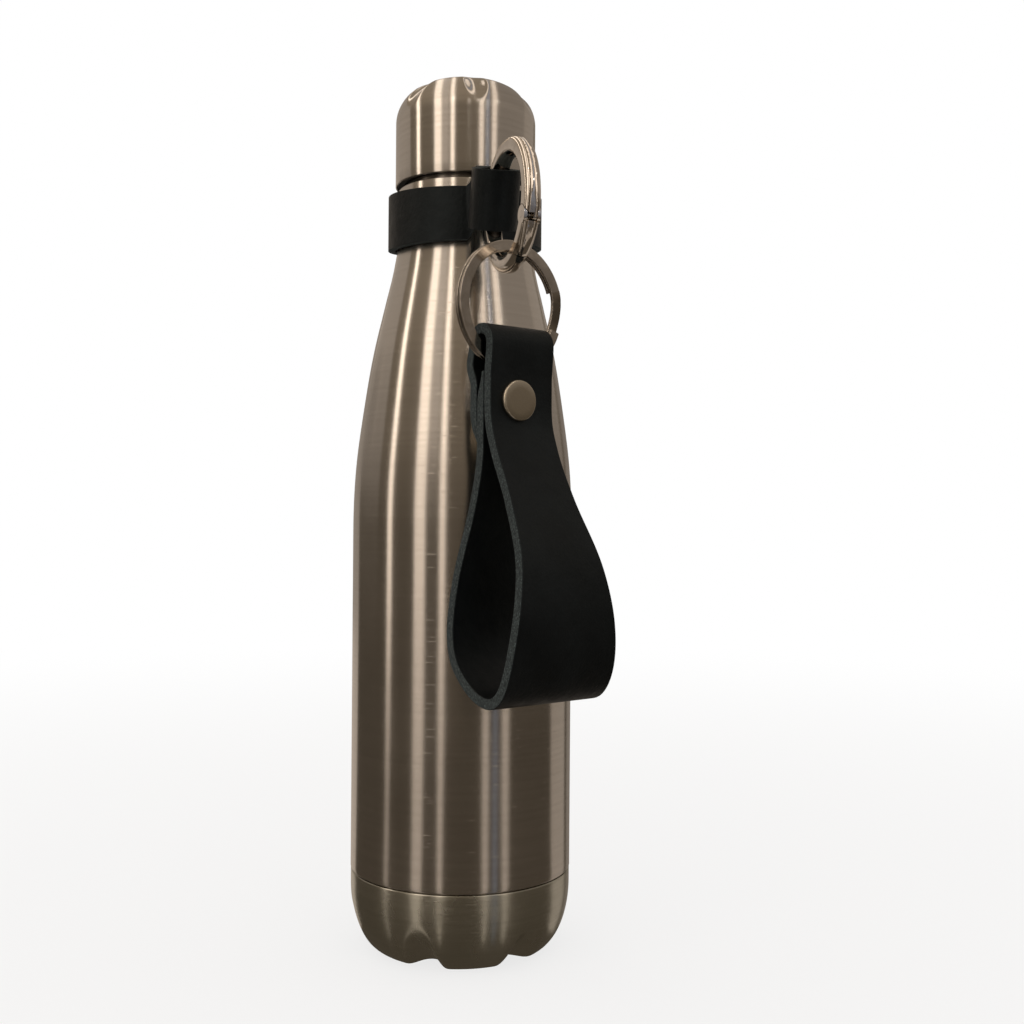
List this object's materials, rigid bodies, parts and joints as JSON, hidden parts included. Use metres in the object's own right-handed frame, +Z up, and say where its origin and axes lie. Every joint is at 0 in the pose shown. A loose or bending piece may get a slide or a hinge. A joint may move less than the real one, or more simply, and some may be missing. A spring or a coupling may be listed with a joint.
{
  "type": "vacuum bottle",
  "caption": "Slim double-walled steel bottle with a fluted screw cap, a petal base and a leather collar that carries a gate ring, a split key ring and a riveted loop handle.",
  "frame": {"origin": "centre of the petal base's foot on the ground, on the bottle's axis", "axes": "+Z up along the bottle's axis; -Y towards the collar's tab and the gate ring; +X to the right of that"},
  "size_m": [0.068, 0.1196, 0.2664],
  "materials": {
    "steel_body": "brushed round the bottle, warm",
    "steel_base": "brushed round the base, a little darker",
    "steel_cap": "brushed round the cap, warm",
    "lead_free_glass": "fused",
    "getter_alloy": "sintered",
    "black_plastic": "fine matt",
    "foam": "open foam",
    "silicone": "smooth",
    "black_leather": "black, semi-gloss, raw grey edges",
    "nickel_rivets": "nickel, satin",
    "nickel_rings": "nickel, polished",
    "spring_steel": "drawn wire"
  },
  "bodies": {
    "bottle": {"outer_shell": "steel_body", "outer_bottom": "steel_body", "seal_bead": "lead_free_glass", "getter": "getter_alloy", "base_cup": "steel_base", "inner_flask": "steel_body", "inner_bottom": "steel_body"},
    "cap_seal": {"seal_ring": "silicone"},
    "cap": {"cap_shell": "steel_cap", "stopper_core": "black_plastic", "stopper_lid": "black_plastic", "foam_plug": "foam"},
    "collar": {"collar_strap": "black_leather", "collar_rivet_cap": "nickel_rivets", "collar_rivet_post": "nickel_rivets"},
    "ring": {"gate_ring": "nickel_rings", "gate_pin": "spring_steel", "gate_spring": "spring_steel"},
    "ring_gate": {"gate": "nickel_rings"},
    "split_ring": {"key_ring": "nickel_rings"},
    "handle": {"handle_strap": "black_leather", "handle_rivet_cap": "nickel_rivets", "handle_rivet_post": "nickel_rivets"}
  },
  "joints": [
    {"name": "cap_lift", "type": "slide", "parent": "bottle", "child": "cap_seal", "axis": [0, 0, 1], "range_m": [0, 0.03]},
    {"name": "cap_turn", "type": "hinge", "parent": "cap_seal", "child": "cap", "pos_m": [0, 0, 0.241], "axis": [0, 0, 1], "range_deg": [0, 2160]},
    {"name": "collar_turn", "type": "hinge", "parent": "bottle", "child": "collar", "pos_m": [0, 0, 0.2238], "axis": [0, 0, 1], "continuous": true},
    {"name": "ring_swing", "type": "hinge", "parent": "collar", "child": "ring", "pos_m": [0, -0.0426, 0.2212], "axis": [0, -0.309, 0.9511], "range_deg": [-30, 12]},
    {"name": "gate_open", "type": "hinge", "parent": "ring", "child": "ring_gate", "pos_m": [0.00328, -0.07135, 0.21009], "axis": [0.9936, 0.1132, 0], "range_deg": [0, 30], "stiffness_Nm_per_rad": 0.02, "springref_deg": -20.05},
    {"name": "key_ring_swing", "type": "hinge", "parent": "ring", "child": "split_ring", "pos_m": [0.00165, -0.05707, 0.2004], "axis": [0.1132, -0.9936, 0], "range_deg": [-60, 60]},
    {"name": "handle_turn", "type": "hinge", "parent": "split_ring", "child": "handle", "pos_m": [0.00165, -0.05707, 0.1889], "axis": [0.4384, -0.8988, 0], "range_deg": [-45, 45]}
  ],
  "couplings": [
    {"joint": "cap_lift", "follows": "cap_turn", "m_per_rad": 0.00079577}
  ]
}
